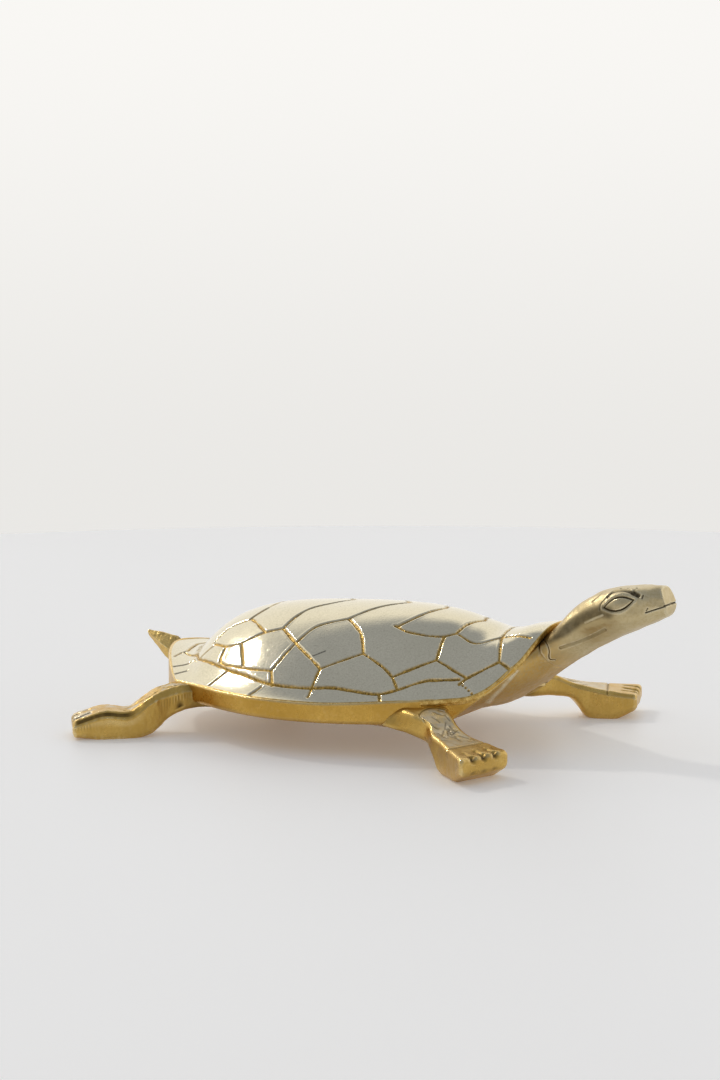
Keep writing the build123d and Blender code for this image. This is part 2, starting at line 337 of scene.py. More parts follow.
def nickel(name):
    """Polished pale shell with a faint cast grain and golden, granular grooves."""
    n = Nodes(name)
    groove = n.mark("groove")
    blotch = n.span(n.noise(45, 4), .3, .7)
    colour = n.mix(blotch, (.76, .69, .50), (.84, .765, .565))
    sand = n.span(n.noise(2100, 3, .6), .40, .62, 0., .38)
    colour = n.mix(sand, colour, (.60, .535, .38))
    speck = n.span(n.noise(1300, 4, .65), .56, .72)
    colour = n.mix(n.math("MULTIPLY", speck, .45), colour, (.46, .40, .27))
    gilt = n.mix(n.span(n.noise(1600, 4), .35, .7), (.20, .115, .02), (.78, .49, .11))
    colour = n.mix(groove, colour, gilt)
    gold = n.mix(n.span(n.noise(900, 4), .35, .65), (.50, .30, .07), (.80, .57, .20))
    colour = n.mix(n.mark("warm"), colour, gold)
    colour = n.mix(n.mark("cavity"), colour, (.06, .05, .035))
    shade = n.span(n.noise(180, 5, .6), .3, .75, .08, .15)
    shade = n.math("ADD", shade, n.math("MULTIPLY", groove, .22), True)
    grit = n.math("MULTIPLY", n.noise(1100, 5, .7), n.span(groove, 0., 1., .5, 3.))
    height = n.math("ADD", grit, n.math("MULTIPLY", n.noise(260, 3), .5))
    return n.finish(colour, shade, height, .000045)


# Tones of each brass: main, deep, bright and patina
gold_tones = ((.71, .44, .10), (.56, .325, .06), (.92, .76, .42), (.10, .058, .018))
limb_tones = ((.78, .53, .15), (.58, .36, .085), (.95, .80, .45), (.07, .042, .015))
neck_tones = ((.68, .57, .34), (.54, .42, .21), (.86, .79, .58), (.026, .018, .01))
screw_tones = ((.74, .52, .20), (.58, .37, .11), (.92, .78, .45), (.09, .06, .03))

shell_metal = nickel("shell_metal")
gold_metal = brass("gold_metal", *gold_tones, .30, .00007)
limb_metal = brass("limb_metal", *limb_tones, .34, .00012, (1, 1, .12))
foot_metal = brass("foot_metal", *limb_tones, .32, .00009)
neck_metal = brass("neck_metal", *neck_tones, .36, .0001, warm=((.50, .305, .085), (.70, .46, .15)))
screw_metal = brass("screw_metal", *screw_tones, .3, .00004, (1, .1, 1))


# Carapace: engraved plates of the left half, as (x, y) points of the plan; the right half mirrors them
plates = [
    [(-53.5, 21.5), (-50.5, 17), (-44, 15.5)],
    [(-44, 15.5), (-41.5, 8), (-40.5, 0)],
    [(-43, 15.5), (-34, 23.5)],
    [(-52.5, 22.5), (-46, 26.5), (-40.5, 27), (-34, 24), (-28, 22.5)],
    [(-46, 27), (-45, 32), (-41.5, 34.5)],
    [(-40, 27.5), (-34.5, 36)],
    [(-41.5, 34.5), (-30, 38), (-23, 39)],
    [(-23, 39), (-20, 44)],
    [(-23, 39), (-20, 29), (-16.5, 21.5), (-8, 17)],
    [(-28, 22.5), (-20, 29), (-7, 37.5)],
    [(-28, 22.5), (-27, 17), (-25, 11.5), (-19.5, 5.5), (-15, 0)],
    [(-7, 37.5), (-6.5, 43.5), (-6, 47)],
    [(-7, 37.5), (4, 30.5)],
    [(-8, 17), (-.5, 23.5), (4, 30.5)],
    [(-8, 17), (-2, 8), (4.5, 0)],
    [(4, 30.5), (16, 35), (19, 37.5)],
    [(16, 35), (26, 25.5)],
    [(26, 25.5), (24.5, 17)],
    [(26, 25.5), (36.5, 26.5)],
    [(8.5, 18), (13, 19.5), (23.5, 17.5), (27, 14)],
    [(9.5, 18), (12.5, 12.5), (17, 0)],
    [(27, 14), (28, 6.5), (30, 0)],
    [(28, 14), (33.5, 15), (40.5, 11), (50.5, 12)],
    [(40.5, 11), (39.5, 0)],
    [(41, 12), (44, 20)],
    [(44, 20), (48, 20.5)],
    [(44, 20), (36.5, 26.5), (35, 28.5)],
    [(-70, 12), (-62, 18), (-58, 23.5), (-43, 34.5), (-32, 39.5), (-20.5, 43.5), (-8, 44), (.5, 42.5),
     (7.5, 42), (14.5, 40.5), (19, 37.5), (24, 33.5), (29.5, 30), (34.5, 27.5)],
    [(-40, 36.5), (-44, 40)],
    [(-23.5, 44.5), (-25.5, 47.5)],
    [(14.5, 40.5), (16, 43)],
    [(-70, 10.5), (-72.5, 0)],
    [(-57, 24), (-52, 23)],
]
# Which of them is the long line along the foot of the dome, and short fine lines at the rear
skirt_line = 27
scribes = [
    [(-70.5, 17.5), (-70.5, 13)],
    [(-66, 25), (-61, 21)],
    [(-62.5, 30), (-59.5, 27.5)],
]


def both_sides(lines):
    """Points of drawn lines on the skin, left and right."""
    points = []
    for line in lines:
        p = curve(line)
        points += [p, p * (1, -1)]
    return skin_at(np.concatenate(points))


def make_carapace():
    """Engraved shell with its rounded edge and hollow underside."""
    rows, cols = 451, 352
    s = np.linspace(0, 1, rows)[:, None]
    t = np.linspace(-1, 1, cols)[None]
    # the edge stays a little inside the rim: a share of the length, and mm at the sides
    lip, side_lip = .0078, 1.05
    groove_depth, skirt_slope = .42, .075
    thickness, edge_drop = 1.9, 2.15
    front = 1 - lip * step(.55, .7, np.abs(t))
    u = lip + (front - lip) * s
    v = t * (1 - side_lip / (shell_width / 2 * smooth(width_line, u)))
    P = skin(u, v)
    n = normals(P)
    n *= np.sign(n[..., 2:])
    # engraved lines, a row of dots on each side and one dark scratch
    near = distance(P, both_sides(plates))
    fine = distance(P, both_sides(scribes))
    dots = skin_at([(35 + 1.0 * k, y) for k in range(5) for y in (28.3, -28.3)])
    dotted = distance(P, dots)
    scratch = distance(P, skin_at(curve([(-11.5, -33.5), (-8.5, -31.5)])))
    hand = 1 + .22 * wobble(P, 5, 3)
    groove = step(.66, .3, near / hand)
    groove = np.maximum(groove, .8 * step(.45, .15, fine))
    groove = np.maximum(groove, step(.55, .25, dotted))
    burr = np.exp(-((near - .85) / .25)**2) * (near > .6)
    sink = groove_depth * groove * (1 + .25 * wobble(P, 1.3, 5)) - .05 * burr + .03 * wobble(P, 9, 8)
    # the skirt drops away below the foot of the dome
    foot_x, foot_y = np.array(plates[skirt_line]).T
    foot = np.interp(P[..., 0], foot_x, foot_y)
    beyond = np.abs(P[..., 1]) - foot
    reach = np.interp(P[..., 0], P[:, -1, 0], P[:, -1, 1]) - foot
    mid = step(-54, -46, P[..., 0]) * step(26, 16, P[..., 0])
    sink = sink + skirt_slope * np.clip(reach - beyond, 0, 9) * step(-.3, .5, beyond) * mid
    plain = P
    P = P - n * sink[..., None]
    top = (P, quads(rows, cols), {"groove": groove, "cavity": .85 * step(.4, .15, scratch)})
    # rounded edge, then the underside
    loop = np.concatenate([P[:-1, 0], P[-1, :-1], P[:0:-1, -1], P[0, :0:-1]])
    ahead = np.roll(loop, -1, 0) - np.roll(loop, 1, 0)
    out = np.stack([ahead[:, 1], -ahead[:, 0]], -1)
    out /= np.linalg.norm(out, axis=1, keepdims=True)
    out *= np.sign(((loop[:, :2] - loop[:, :2].mean(0)) * out).sum(1))[:, None]
    rings = []
    for o, dz in ((0, 0), (.16, -.08), (.26, -.3), (.28, -1.1), (.26, -1.9), (.1, -2.1), (0, -edge_drop)):
        ring = loop + (0, 0, dz)
        ring[:, :2] += out * o
        rings.append(ring)
    wall = np.stack(rings)
    edge = (wall, quads(len(rings), len(loop), True)[:, ::-1], {"groove": .5, "warm": 1})
    inside = np.minimum(np.minimum(s, 1 - s) * shell_length, (1 - np.abs(t)) * shell_width / 2)
    inside = step(.5, 6, inside)[..., None]
    low = (plain - n * thickness * inside - (1 - inside) * (0, 0, edge_drop))[::3, ::3]
    under = (low, quads(*low.shape[:2])[:, ::-1], {"groove": .75, "cavity": .25, "facing": -1})
    piece("carapace_dressed", [top, edge, under], "carapace", shell_metal)


# Body: rim wall with its lip, belly plate with the screw recesses; its breast comes with the neck
def rim_path():
    """Round the rim's outer edge from the hood's left shoulder, over the tail, to the right one."""
    a = skin(1, np.linspace(.58, 1, 60))
    b = skin(np.linspace(1, 0, 300)[1:], 1)
    c = skin(0, np.linspace(1, -1, 200)[1:-1])
    left = np.concatenate([a, b])
    path = np.concatenate([left, c, (left * (1, -1, 1))[::-1]])
    run = lengths(path)
    s = np.arange(0, run[-1], .5)
    path = np.stack([np.interp(s, run, path[:, k]) for k in range(3)], -1)
    for _ in range(6):
        path[1:-1] = (path[:-2] + 2 * path[1:-1] + path[2:]) / 4
    return path


belly_z = 8
rim_under = 10
belly_front = 26.4
middle_x = rear_x + shell_length / 2
# Rim section as (outwards, up), from the rim's top edge and from its bottom edge
lip_profile = [(-1.7, -1.2), (-1.05, -.35), (-.97, -.05), (-.8, .1), (-.5, .14), (-.25, .06), (-.08, -.14),
               (0, -.45)]
foot_profile = [(-.08, 1.1), (-.3, .65), (-.65, .3), (-1.15, .08), (-1.8, 0), (-2.6, -.1)]
recess_radius = 2.9
recess_depth = 2
down = (0, 0, -1)


def bow(x):
    """Height of the sloping cut under the front of the rim."""
    return rim_under + .93 * (x - 33.4)


def belly_height(x):
    """The belly's flat, then its rise towards the breast."""
    return belly_z + .85 * np.maximum(0, np.asarray(x) - belly_front)


# Screws of the front legs, rear legs and tail, of the neck, and of the shell
screw_spots = [(23.2, 25.9), (23.2, -25.9), (-49.1, 27.6), (-49.1, -27.6), (-69.5, 0)]
neck_screw = (47.4, 0, 18.0)
boss_spots = [(-39.7, 20), (-39.7, -20), (14.1, 20), (14.1, -20)]


def make_body():
    """Rim wall, the slope under it and the belly with its recesses."""
    path = rim_path()
    tangent = np.gradient(path[:, :2], axis=0)
    tangent /= np.linalg.norm(tangent, axis=1, keepdims=True)
    out = np.stack([tangent[:, 1], -tangent[:, 0]], -1)
    top = path[:, 2]
    low = np.minimum(np.maximum(rim_under, bow(path[:, 0])), top - .9)
    tall = top - low
    k = np.clip(tall / 4, .25, 1)
    rings = []
    wear_and_sheen = []
    # the lip's top edge is brightest: worn brass with a painted highlight along it
    for o, dz in lip_profile:
        ring = np.column_stack([path[:, :2] + out * (o * np.maximum(k, .7))[:, None], top + dz * k])
        rings.append(ring)
        wear_and_sheen.append(1. if -1 < o < -.05 else .25)
    for f in np.linspace(.08, 1, 15):
        z = top - .45 * k - (tall - 2.0 * k) * f
        rings.append(np.column_stack([path[:, :2], z]))
        wear_and_sheen.append(0.)
    for o, dz in foot_profile:
        ring = np.column_stack([path[:, :2] + out * (o * k)[:, None], low + dz * k])
        rings.append(ring)
        wear_and_sheen.append(.15)
    wall = np.stack(rings)
    wall += (np.pad(out, ((0, 0), (0, 1))) * (.05 * wobble(wall[12], 14, 21))[:, None])[None]
    wear_and_sheen = np.repeat(np.array(wear_and_sheen)[:, None], wall.shape[1], 1)
    rim = (wall, quads(*wall.shape[:2]), {"edge": wear_and_sheen})
    # slope from the wall's foot in to the belly, steeper by the legs
    belly = []
    last = wall[-1]
    share = .19 - .09 * np.maximum(step(-40, -47, last[:, 0]), step(12, 20, last[:, 0]))
    for f in np.linspace(0, 1, 12):
        xy = (middle_x, 0) + (last[:, :2] - (middle_x, 0)) * (1 - share * f)[:, None]
        z = last[:, 2] + (belly_height(xy[:, 0]) - last[:, 2]) * f
        belly.append(np.column_stack([xy, z]))
    belly = np.stack(belly)
    slope = (belly, quads(*belly.shape[:2]), {"cavity": .15, "facing": down})
    made = [rim, slope, belly_plate(belly[-1]), belly_rise(belly[-1])]
    for spot in screw_spots + boss_spots:
        made.append(recess(*spot))
    piece("body_dressed", made, "body", gold_metal)


def circle(x, y, r, n=40):
    """Points round a circle of the plan."""
    a = np.linspace(0, math.tau, n, endpoint=False)
    return np.column_stack([x + r * np.cos(a), y + r * np.sin(a)])


def belly_plate(edge):
    """Flat plate inside the belly's edge, open over the screw recesses."""
    bm = bmesh.new()
    keep = edge[edge[:, 0] <= belly_front][::3]
    flat = edge[np.argsort(np.abs(edge[:, 0] - belly_front))[:2]]
    corner = (belly_front, np.abs(flat[:, 1]).mean() * np.sign(keep[0, 1]))
    outer = np.vstack([corner, keep[:, :2], np.multiply(corner, (1, -1))])
    loops = [outer] + [circle(x, y, recess_radius) for x, y in screw_spots + boss_spots]
    edges = []
    for loop in loops:
        ring = [bm.verts.new((x, y, belly_z)) for x, y in loop]
        edges += [bm.edges.new((ring[i], ring[(i + 1) % len(ring)])) for i in range(len(ring))]
    bmesh.ops.triangle_fill(bm, use_beauty=True, use_dissolve=False, edges=edges, normal=down)
    bm.verts.index_update()
    P = np.array([v.co[:] for v in bm.verts])
    faces = [[v.index for v in f.verts] for f in bm.faces]
    bm.free()
    return P, np.array(faces), {"cavity": .1, "facing": down}


def belly_rise(edge):
    """Slope from the front of the flat up into the breast."""
    left = edge[(edge[:, 1] > 0) & (edge[:, 0] >= belly_front - 1)]
    left = left[np.argsort(left[:, 0])]
    rows, cols = 34, 50
    x = np.linspace(belly_front, left[-1, 0], rows)[:, None]
    y = np.linspace(-1, 1, cols)[None] * np.interp(x, left[:, 0], left[:, 1])
    P = np.stack(np.broadcast_arrays(x, y, belly_height(x)), -1)
    return P, quads(rows, cols), {"cavity": .1, "facing": down}


def recess(x, y):
    """Counterbore in the belly, with a softened mouth."""
    floor = belly_z + recess_depth
    rings = []
    for r, z in ((recess_radius, belly_z), (2.86, belly_z + .12), (2.85, floor), (1.6, floor)):
        ring = circle(x, y, r)
        rings.append(np.column_stack([ring, np.full(len(ring), z)]))
    P = np.stack(rings)
    depth = np.array([[.2], [.5], [1], [1]]) * np.ones(P.shape[:2])
    return P, quads(*P.shape[:2], True), {"cavity": depth, "facing": -1}


# Breast, neck and head in one form: (ahead of the hood tip, underside, top, half-width)
throat = [(-34, -28.9, -15.9, 24.0), (-23, -27.6, -11.9, 26.3), (-14, -25.2, -6.4, 22.8),
          (-7, -21.3, -3.2, 18.4), (-1, -16.5, -2.2, 13.2), (6, -11.5, 5.0, 9.8), (12, -7.7, 9.2, 9.0),
          (18, -4.3, 11.5, 9.6), (24, -1.3, 12.5, 9.7), (29.5, 1.2, 12.9, 7.8), (34, 3.4, 13.1, 5.6),
          (36.6, 4.6, 13.1, 4.2)]
seam_lean = math.tan(math.radians(29))
neck_base = 8.3
# Eye: middle, half-length and half-height
eye_x, eye_z, eye_long, eye_high = 77.3, 46, 4.6, 1.9
# Lines carved on the head: points, half-width, depth, darkness, painted highlight
face_lines = [
    ([(73, 47.6), (74.5, 49), (77.9, 49.7), (82.6, 48.9)], .52, .3, 1, 0),
    ([(81, 49.3), (83, 48.6)], .85, .35, 1, 0),
    ([(71.6, 43.8), (71.5, 45.4), (72.6, 47.2)], .28, .15, .5, 0),
    ([(85.2, 43.7), (89, 45.1), (90.4, 45.6)], .28, .25, .9, 0),
    ([(85.4, 44.3), (85.7, 45)], .25, .15, .9, 0),
    ([(67.8, 45.6), (70.3, 48.3)], .3, .12, .6, 0),
    # a raised line, with a painted highlight along it
    ([(66.9, 39.7), (72.7, 42.4)], .5, -.1, 0, .8),
    ([(59.4, 31.6), (66, 34.2), (73.2, 38)], .7, .16, .3, 0),
    ([(84.2, 47.9), (84.4, 48.6)], .38, .2, 1, 0),
]
# Line of the painted dark reflection along each side of the neck, as (x, z) points
neck_reflection_line = [(54.3, 34.2), (60, 36.8), (65.7, 41), (71.4, 43.3), (74.5, 43.4)]
seam_hook = [(52.5, 34.2), (55.7, 32.6), (56.4, 31), (56.4, 28), (57.4, 27.8)]
breast_crease = [(38.4, 14.2), (42.6, 18.1), (45.9, 21.6), (48.6, 25)]


def stroke(P, side_on, points, width):
    """1 along a line drawn on both sides of the head or breast, as (x, z) points."""
    near = distance(P * (1, 0, 1), np.insert(curve(points, .2), 1, 0, axis=1))
    return step(width, width * .35, near) * step(.2, .45, side_on)


def make_throat():
    """Grid of breast, neck and head, the number of faces that are breast, and the marks."""
    cols = 300
    tip, blunt = 35.5, .5
    back = np.linspace(throat[0][0], 0, 70)
    front = np.linspace(0, tip, 250)[1:]
    turn = np.linspace(0, math.pi / 2, 9)[1:]
    nose = np.linspace(1, .02, 14)[1:]
    ahead = np.concatenate([back, front, tip + blunt * np.sin(turn), tip + blunt + 0 * nose])[:, None]
    inset = np.concatenate([0 * back, 0 * front, blunt - blunt * np.cos(turn), blunt + 0 * nose])[:, None]
    shrink = np.concatenate([1 + 0 * back, 1 + 0 * front, 1 + 0 * turn, nose])[:, None]
    a = np.linspace(0, math.tau, cols, endpoint=False)[None]
    c, s = np.cos(a), np.sin(a)
    boxy = 2 + .7 * step(12, 22, ahead)
    round_off = (np.abs(c)**boxy + np.abs(s)**boxy)**(-1 / boxy)
    lean = seam_lean * step(-26, -8, ahead) * step(18, 6, ahead)
    # the seam leans, so each ring's stations shift with its height, settled in a few rounds
    X = hood_x + ahead + 0 * a
    for _ in range(8):
        low, high, half = [smooth([(row[0], row[k]) for row in throat], X - hood_x) for k in (1, 2, 3)]
        Y = (half - inset) * shrink * round_off * s
        Z = hood_z + (low + high) / 2 + ((high - low) / 2 - inset) * shrink * round_off * c
        X = hood_x + ahead - lean * (Z - hood_z + neck_base)
    P = np.stack([X, Y, Z], -1)
    under_shell(P, 2.4)
    n = normals(P, True)
    n *= np.sign((n[..., 1:] * (P[..., 1:] - P[..., 1:].mean(1, keepdims=True))).sum(-1).mean())
    side_on = np.abs(n[..., 1])
    X, Z = P[..., 0], P[..., 2]
    face = step(64, 69, X)
    # eye: an almond in a carved line, under a heavy lid
    tilt = math.radians(17)
    e1 = (X - eye_x) * math.cos(tilt) + (Z - eye_z) * math.sin(tilt)
    e2 = (Z - eye_z) * math.cos(tilt) - (X - eye_x) * math.sin(tilt)
    reach = eye_high * (1 - (np.clip(np.abs(e1), 0, eye_long) / eye_long)**2)
    gap = np.where(np.abs(e1) < eye_long, np.abs(e2) - reach, np.hypot(np.abs(e1) - eye_long, e2))
    on = step(.25, .5, side_on)
    ball = np.sqrt(np.clip(1 - (np.abs(e2) / np.maximum(reach, .05))**2, 0, 1)) * step(0, -.5, gap)
    ring = step(1, .55, np.abs(gap) / np.where(e2 > 0, .36, .27))
    lid = np.exp(-((gap - .8) / .4)**2)
    lift = on * (.3 * ball * np.sqrt(np.clip(reach / eye_high, 0, 1)) - .3 * ring + .16 * lid)
    dark = on * ring
    wear_and_sheen = on * (.5 * lid + .3 * step(-.6, -1.2, gap))
    for points, width, depth, ink, painted_highlight in face_lines:
        mark = stroke(P, side_on, points, width) * step(56, 60, X)
        lift = lift - depth * mark
        dark = np.maximum(dark, ink * mark)
        wear_and_sheen = np.maximum(wear_and_sheen, painted_highlight * mark)
    # painted dark reflection along the side of the neck, the mouth round the front, and dots on the crown
    dark_reflection = stroke(P, side_on, neck_reflection_line, 2.6)
    dark = np.maximum(dark, .62 * dark_reflection * (1 - wear_and_sheen))
    lips = step(.32, .12, np.abs(Z - 45.7)) * step(.4, .7, n[..., 0]) * step(88, 89, X)
    lift = lift - .3 * lips
    dark = np.maximum(dark, .9 * lips)
    for x in (76.1, 78.4, 81.1):
        dot = step(.55, .2, np.hypot(X - x, np.abs(P[..., 1]) - 4)) * step(.5, .8, n[..., 2])
        lift = lift - .4 * dot
        dark = np.maximum(dark, dot)
    # seam between neck and breast, cut deepest near the hood
    seam = np.exp(-(ahead / .3)**2) * step(27, 33, Z)
    hook = stroke(P, side_on, seam_hook, .24)
    lift = lift - .15 * seam - .16 * hook - .12 * np.exp(-(ahead / .25)**2)
    dark = np.maximum(dark, np.maximum(.6 * seam, .75 * hook))
    lift = lift + .1 * wobble(P, 7, 31) + .035 * wobble(P, 2.2, 33)
    # a raised crease down each side of the breast, with a painted highlight along it
    ridge = stroke(P, np.abs(P[..., 1]) / 30, breast_crease, .55)
    lift = lift + .14 * ridge
    wear_and_sheen = np.maximum(wear_and_sheen, 1.5 * ridge)
    # the cheek swells behind the mouth
    lift = lift + .4 * face * np.exp(-((X - 80) / 6)**2 - ((Z - 42) / 3)**2)
    P = P + n * lift[..., None]
    # the snout slopes back above the mouth
    P[..., 0] -= np.clip((Z - 45.5) / 6, 0, 1) * 2.3 * step(82, 90, X)
    P[..., 0] = np.minimum(P[..., 0], nose_limit)
    P[..., 2] = np.minimum(P[..., 2], crown_limit)
    # recess round the neck's screw
    bore = step(3.4, 3.05, np.hypot(P[..., 0] - neck_screw[0], P[..., 1])) * (n[..., 2] < 0)
    P[..., 2] += np.maximum(0, neck_screw[2] + 1.4 - P[..., 2]) * bore
    dark = np.maximum(dark, .6 * bore)
    marks = {"cavity": dark, "edge": wear_and_sheen, "warm": step(66, 51, X + .3 * (Z - 30))}
    return P, quads(len(ahead), cols, True), (len(back) - 1) * cols, marks


P, faces, split, marks = make_throat()
piece("breast_dressed", [(P, faces[:split], marks)], "body", neck_metal)
piece("head_and_neck_dressed", [(P, faces[split:], marks)], "head_and_neck", neck_metal)
make_carapace()
make_body()


# Legs and tail: rounded flats along a bent line
def rounded(points, radii, counts):
    """A polygon with softened corners and a set number of points along each side."""
    ring = []
    n = len(points)
    p = np.array(points, float)
    for i in range(n):
        before, here, after = p[i - 1], p[i], p[(i + 1) % n]
        a = here + (before - here) * min(.45, radii[i] / np.linalg.norm(before - here))
        b = here + (after - here) * min(.45, radii[i] / np.linalg.norm(after - here))
        for t in np.linspace(0, 1, corner_points):
            ring.append((1 - t)**2 * a + 2 * t * (1 - t) * here + t * t * b)
        end = after + (here - after) * min(.45, radii[(i + 1) % n] / np.linalg.norm(here - after))
        for t in np.linspace(0, 1, counts[i] + 2)[1:-1]:
            ring.append(b + (end - b) * t)
    return np.array(ring)


def sides(counts):
    """Which side of the polygon each point lies on, -1 in the corners."""
    spots = [np.r_[np.full(corner_points, -1), np.full(c, i)] for i, c in enumerate(counts)]
    return np.concatenate(spots)[None]


# Points in each corner and along each side: a leg has sole, wall, bevel, top, bevel, wall
corner_points = 6
leg_counts = (8, 14, 3, 36, 4, 14)
tail_counts = (12, 6, 12, 14, 2, 14)
# Corner radii of rear and front legs
rear_radii = (1.6, 1.6, .5, .5, .5, .5)
front_radii = (2.4, 3.4, .5, .5, .5, .5)
# Left legs from root to toes: place from the hip, heading in degrees, half-width, then the
# underside and top as shares of the rim's height
front_lines = [(-6, -9, 60, 6.5, .53, .98), (0, 1.5, 60, 6.5, .48, .97), (5, 7, 52, 6, .45, .87),
               (10.5, 11.2, 40, 5.8, .36, .71), (14.5, 13.8, 31, 6.2, .03, .64), (19, 16.6, 23, 7.4, -.03, .58),
               (24, 20, 19, 9, .0, .54), (29.2, 24, 17, 10.2, .19, .5)]
rear_lines = [(7.5, -6.3, 140, 6, .53, .98), (0, 0, 140, 6, .49, .97), (-3.6, 3.4, 140, 5.8, .33, .9),
              (-7, 7.8, 143, 6, .07, .78), (-12, 11.5, 144, 6.6, -.03, .52), (-18.5, 16, 144, 7.2, -.03, .54),
              (-26.5, 21.8, 144, 7.2, .05, .36)]
hips = {"front": (28.45, 35.0), "rear": (-57.2, 34.4)}
# Directions along the rim and away from it, in plan, beside the left front leg
rim_rearwards = np.array((-.89, .45))
rim_outwards = np.array((.45, .89))
web_width, web_length = 9, 7.5


def off_rim(P):
    """Distance of points from the rim's outer edge in plan, below 0 inside it."""
    edge = skin(np.linspace(0, 1, 400), 1.)
    outside = np.sign(P[..., 1] - np.interp(P[..., 0], edge[:, 0], edge[:, 1]))
    return distance(P * (1, 1, 0), edge * (1, 1, 0)) * outside


def make_leg(name, lines, side, claws, bevels, crease):
    """One leg; crease is how far behind the toes a front foot folds, and 0 for a rear leg."""
    hip = hips[name.split("_")[0]]
    p = np.array(lines, float)
    run = lengths(p[:, :2])
    tip = run[-1]
    blunt = 1.1
    turn = np.linspace(0, math.pi / 2, 8)[1:]
    flat = np.linspace(1, .02, 14)[1:]
    straight = np.linspace(0, tip - blunt, 150)
    s = np.concatenate([straight, tip - blunt + blunt * np.sin(turn), tip + 0 * flat])
    inset = np.concatenate([0 * straight, blunt - blunt * np.cos(turn), blunt + 0 * flat])
    shrink = np.concatenate([1 + 0 * straight, 1 + 0 * turn, flat])
    values = [smooth(list(zip(run, p[:, k])), s) for k in range(6)]
    left, right = bevels
    rings, across, up = [], [], []
    for dx, dy, heading, w, lo, hi, by, k in zip(*values, inset, shrink):
        lo, hi = lo * rim_z, hi * rim_z
        middle = (lo + hi) / 2
        ring = rounded([(-w, lo), (w, lo), (w, hi - left), (w - left, hi), (right - w, hi), (-w, hi - right)],
                       front_radii if crease else rear_radii, leg_counts)
        ring = (ring - (0, middle)) * (k * (1 - by / w), k * (1 - 2 * by / (hi - lo))) + (0, middle)
        a = math.radians(heading)
        x = hip[0] + dx - ring[:, 0] * math.sin(a)
        y = hip[1] + dy + ring[:, 0] * math.cos(a)
        rings.append(np.column_stack([x, y, ring[:, 1]]))
        across.append(ring[:, 0])
        up.append((ring[:, 1] - lo) / (hi - lo))
    P, across, up = np.stack(rings), np.stack(across), np.stack(up)
    along = (tip - s)[:, None] + 0 * across
    if crease:
        # the root's rear side spreads along the rim as a web, and the ankle is drawn in
        rear = step(.3, 1, across / values[3][:, None])
        gap = off_rim(P)
        spread = rear * np.clip(1 - gap / web_width, 0, 1)**2
        ankle = rear * (1.2 + 1.4 * up) * np.exp(-((gap - 11) / 4.5)**2)
        heading = np.radians(values[2])
        inward = np.stack([np.sin(heading), -np.cos(heading)], -1)[:, None]
        P[..., :2] += inward * ankle[..., None]
        P[..., :2] += rim_rearwards * (web_length * spread * (1 - .8 * up**2))[..., None]
        proud = np.maximum(0, off_rim(P) - gap) * (spread > 0)
        P[..., :2] -= rim_outwards * proud[..., None]
        P[..., 2] += np.maximum(0, rim_under + .1 - P[..., 2]) * spread
    n = normals(P, True)
    n *= np.sign((n[..., 2] * (P[..., 2] - P[..., 2].mean(1, keepdims=True))).mean())
    part = sides(leg_counts)
    top = (part == 3) * step(0, .3, along)
    walls = np.isin(part, [1, 5]) * step(.3, 1, along)
    root = step(tip * .55, tip * .75, along)
    toes = step(8, 4, along)
    # cast unevenness, and file marks across the sides at the root and the toes, faint on a front leg
    ripple, file_depth = (.02, .2) if crease else (.06, 1)
    lift = .16 * wobble(P, 8, 41 + len(name)) + ripple * wobble(P * (1, 1, .3), 1.7, 43)
    filed = walls * np.maximum(root, .7 * toes) * step(.3, .6, up) * file_depth
    teeth = np.sin(along * 6.9 + 1.5 * wobble(P, 6, 45))
    lift = lift + .12 * filed * teeth
    dark = .6 * filed * step(-.2, -.9, teeth)
    # claws: slits on top of the foot that run over its front edge
    upper = step(.3, .7, n[..., 2])
    for c in claws:
        slit = np.exp(-((across - c - .12 * along) / .5)**2) * step(6.5, 5, along) * upper
        pit = np.exp(-((across - c) / 1.0)**2) * step(2.6, 1.2, along) * np.maximum(upper, step(.55, .85, up))
        nick = np.exp(-((across - c) / .6)**2) * step(.3, .1, up) * step(.6, .2, along)
        lift = lift - .6 * slit - .75 * pit - .15 * nick
        dark = np.maximum(dark, np.maximum(np.maximum(.75 * slit, pit), .5 * nick))
    fold = np.exp(-((along - crease) / .35)**2) * upper
    lift = lift - .3 * fold
    dark = np.maximum(dark, .7 * fold)
    # chisel cuts on top
    rng = np.random.default_rng(70 + len(name))
    for _ in range(26):
        place, across_at, angle = rng.uniform(.3, .85) * tip, rng.uniform(-5, 5), rng.uniform(-1, 1)
        d1 = (along - place) * math.cos(angle) + (across - across_at) * math.sin(angle)
        d2 = (across - across_at) * math.cos(angle) - (along - place) * math.sin(angle)
        cut = np.exp(-(d2 / .25)**2) * step(2.4, 1.5, np.abs(d1)) * top
        lift = lift - .2 * cut
        dark = np.maximum(dark, .6 * cut)
    # painted shade on the root where it goes in under the rim
    dark = np.maximum(dark, .45 * step(tip * .72, tip * .85, along))
    painted_highlight = 0 * dark
    if crease:
        # the silvered field ends at the root in an arc with a dark outline
        arc = 36.4 - .14 * (across + 2)**2
        silver = .75 * top * step(crease - .5, crease + 1.5, along) * step(arc, arc - .6, along)
        outline = np.exp(-((along - arc) / .38)**2) * upper
        lift = lift - .25 * outline
        dark = np.maximum(dark, .85 * outline)
    else:
        # patchy silvering, painted shade on the outer bevel with a painted highlight on the wall under it, and
        # a pit at the root
        silver = .9 * top * step(.25, .6, wobble(P * (1, 1, .2), 5, 47) + .9 * toes + .6 * root)
        bevel_shade = (part == 4) * step(22, 15, along) * step(.6, 1.5, along)
        dark = np.maximum(dark, .85 * bevel_shade)
        painted_highlight = .45 * (part == 5) * step(.45, .62, up) * step(24, 18, along) * step(.6, 2, along)
        pit = np.exp(-((along - tip * .74) / 1.1)**2 - ((up - .2) / .25)**2) * (part == 5)
        lift = lift - .4 * pit
        dark = np.maximum(dark, pit)
    silver = silver * step(tip * .9, tip * .7, along)
    P = P + n * lift[..., None]
    P[..., 2] = np.maximum(P[..., 2], 0)
